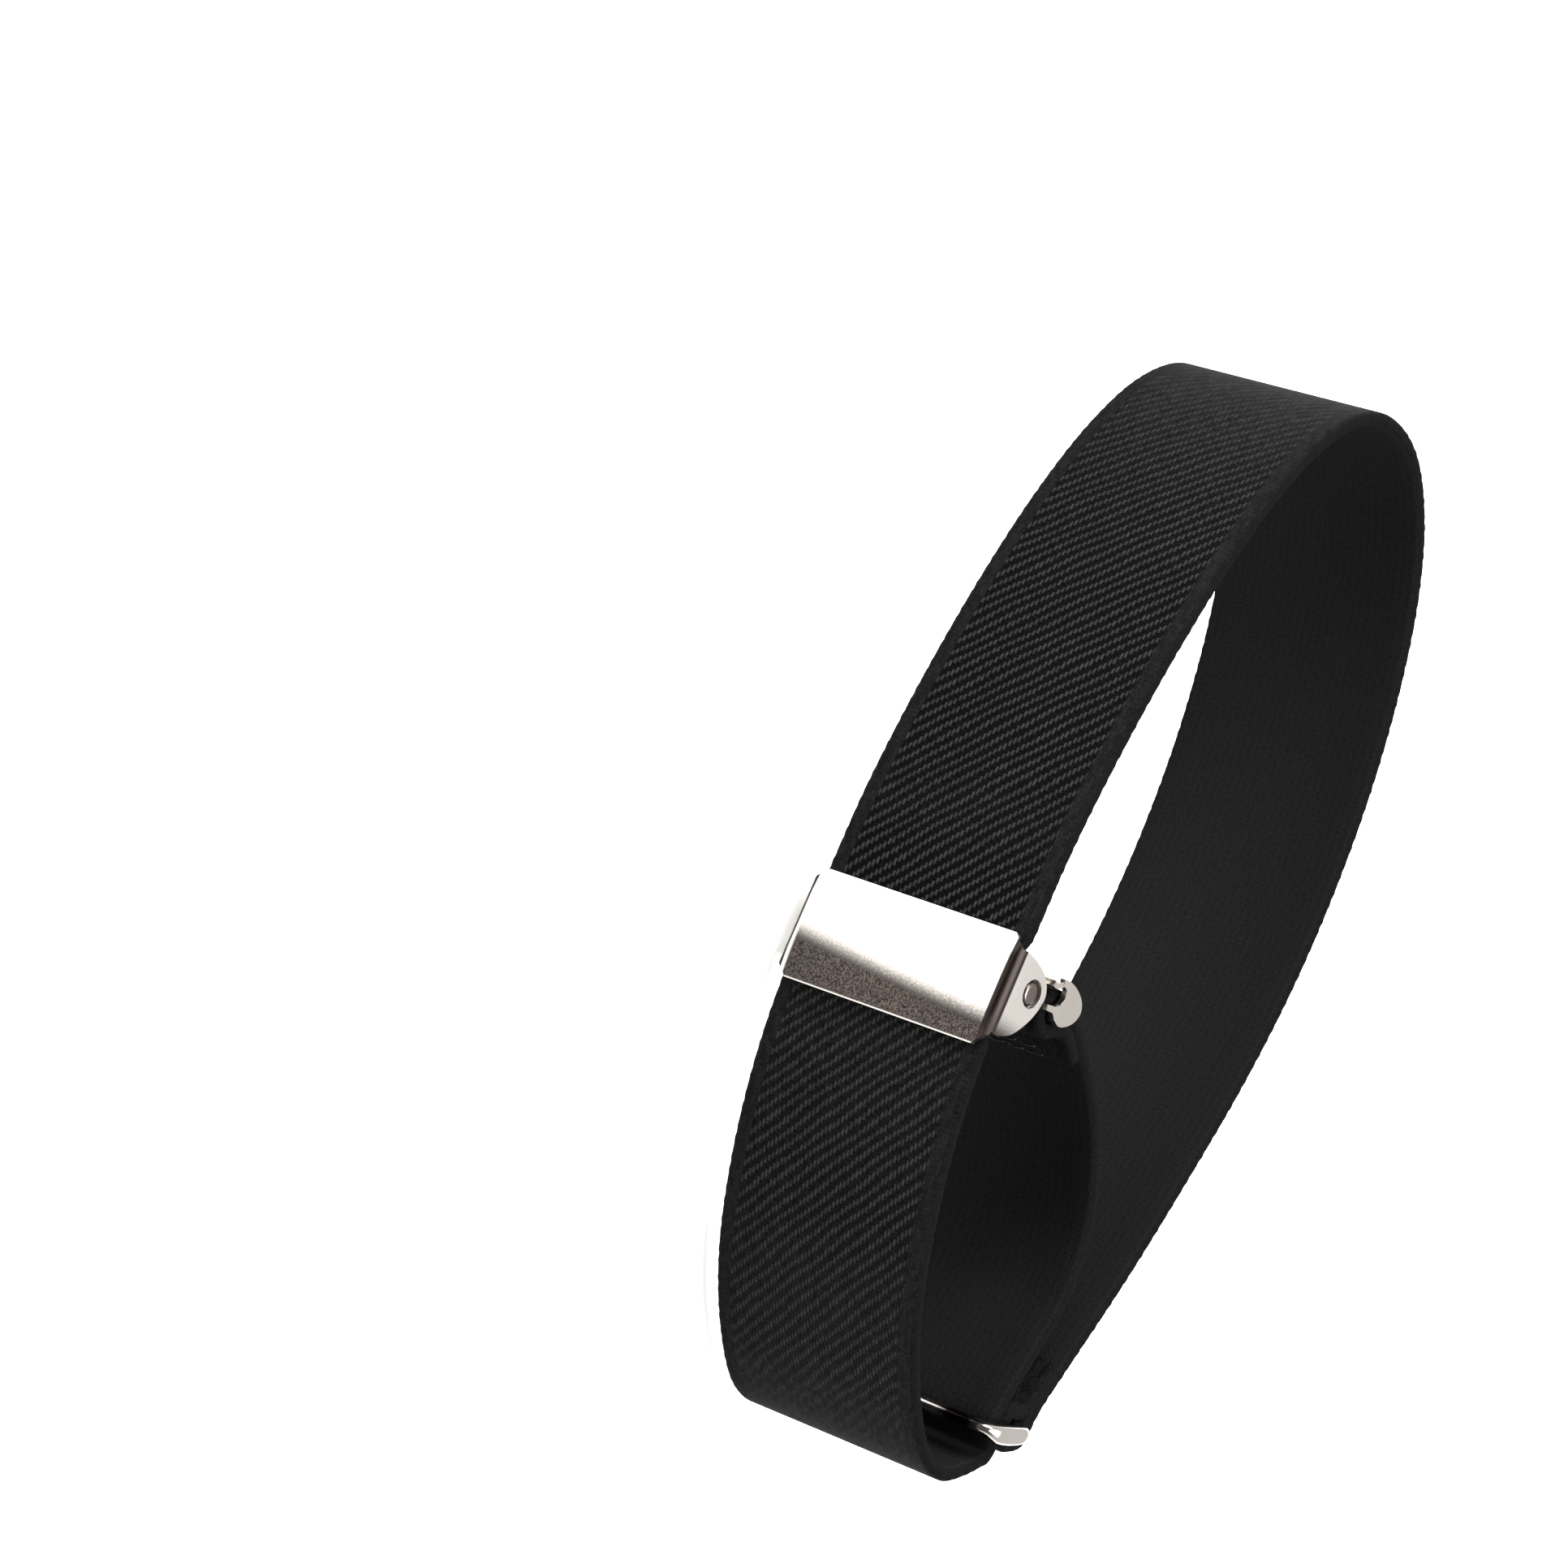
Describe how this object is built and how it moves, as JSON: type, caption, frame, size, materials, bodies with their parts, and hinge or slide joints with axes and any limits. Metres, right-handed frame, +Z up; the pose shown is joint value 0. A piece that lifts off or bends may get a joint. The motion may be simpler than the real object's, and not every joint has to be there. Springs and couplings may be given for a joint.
{
  "type": "shirt sleeve holder",
  "caption": "Elastic sleeve garter: a ribbed band in an open oval loop that doubles back through a metal ring to a sliding metal adjuster.",
  "frame": {"origin": "middle of the footprint on the surface that the garter lies on", "axes": "+X along the loop towards the ring, -Y towards the side with the adjuster plate, +Z up across the band's width"},
  "size_m": [0.1212, 0.0596, 0.0288],
  "materials": {
    "webbing": "woven, dull black with diagonal ribs",
    "plated_steel": "bright nickel plate with a fine satin grain"
  },
  "bodies": {
    "root": {"elastic_strap": "webbing", "adjuster_plate": "plated_steel", "adjuster_lever": "plated_steel", "pivot_pin": "plated_steel", "slide_ring": "plated_steel"}
  },
  "joints": []
}
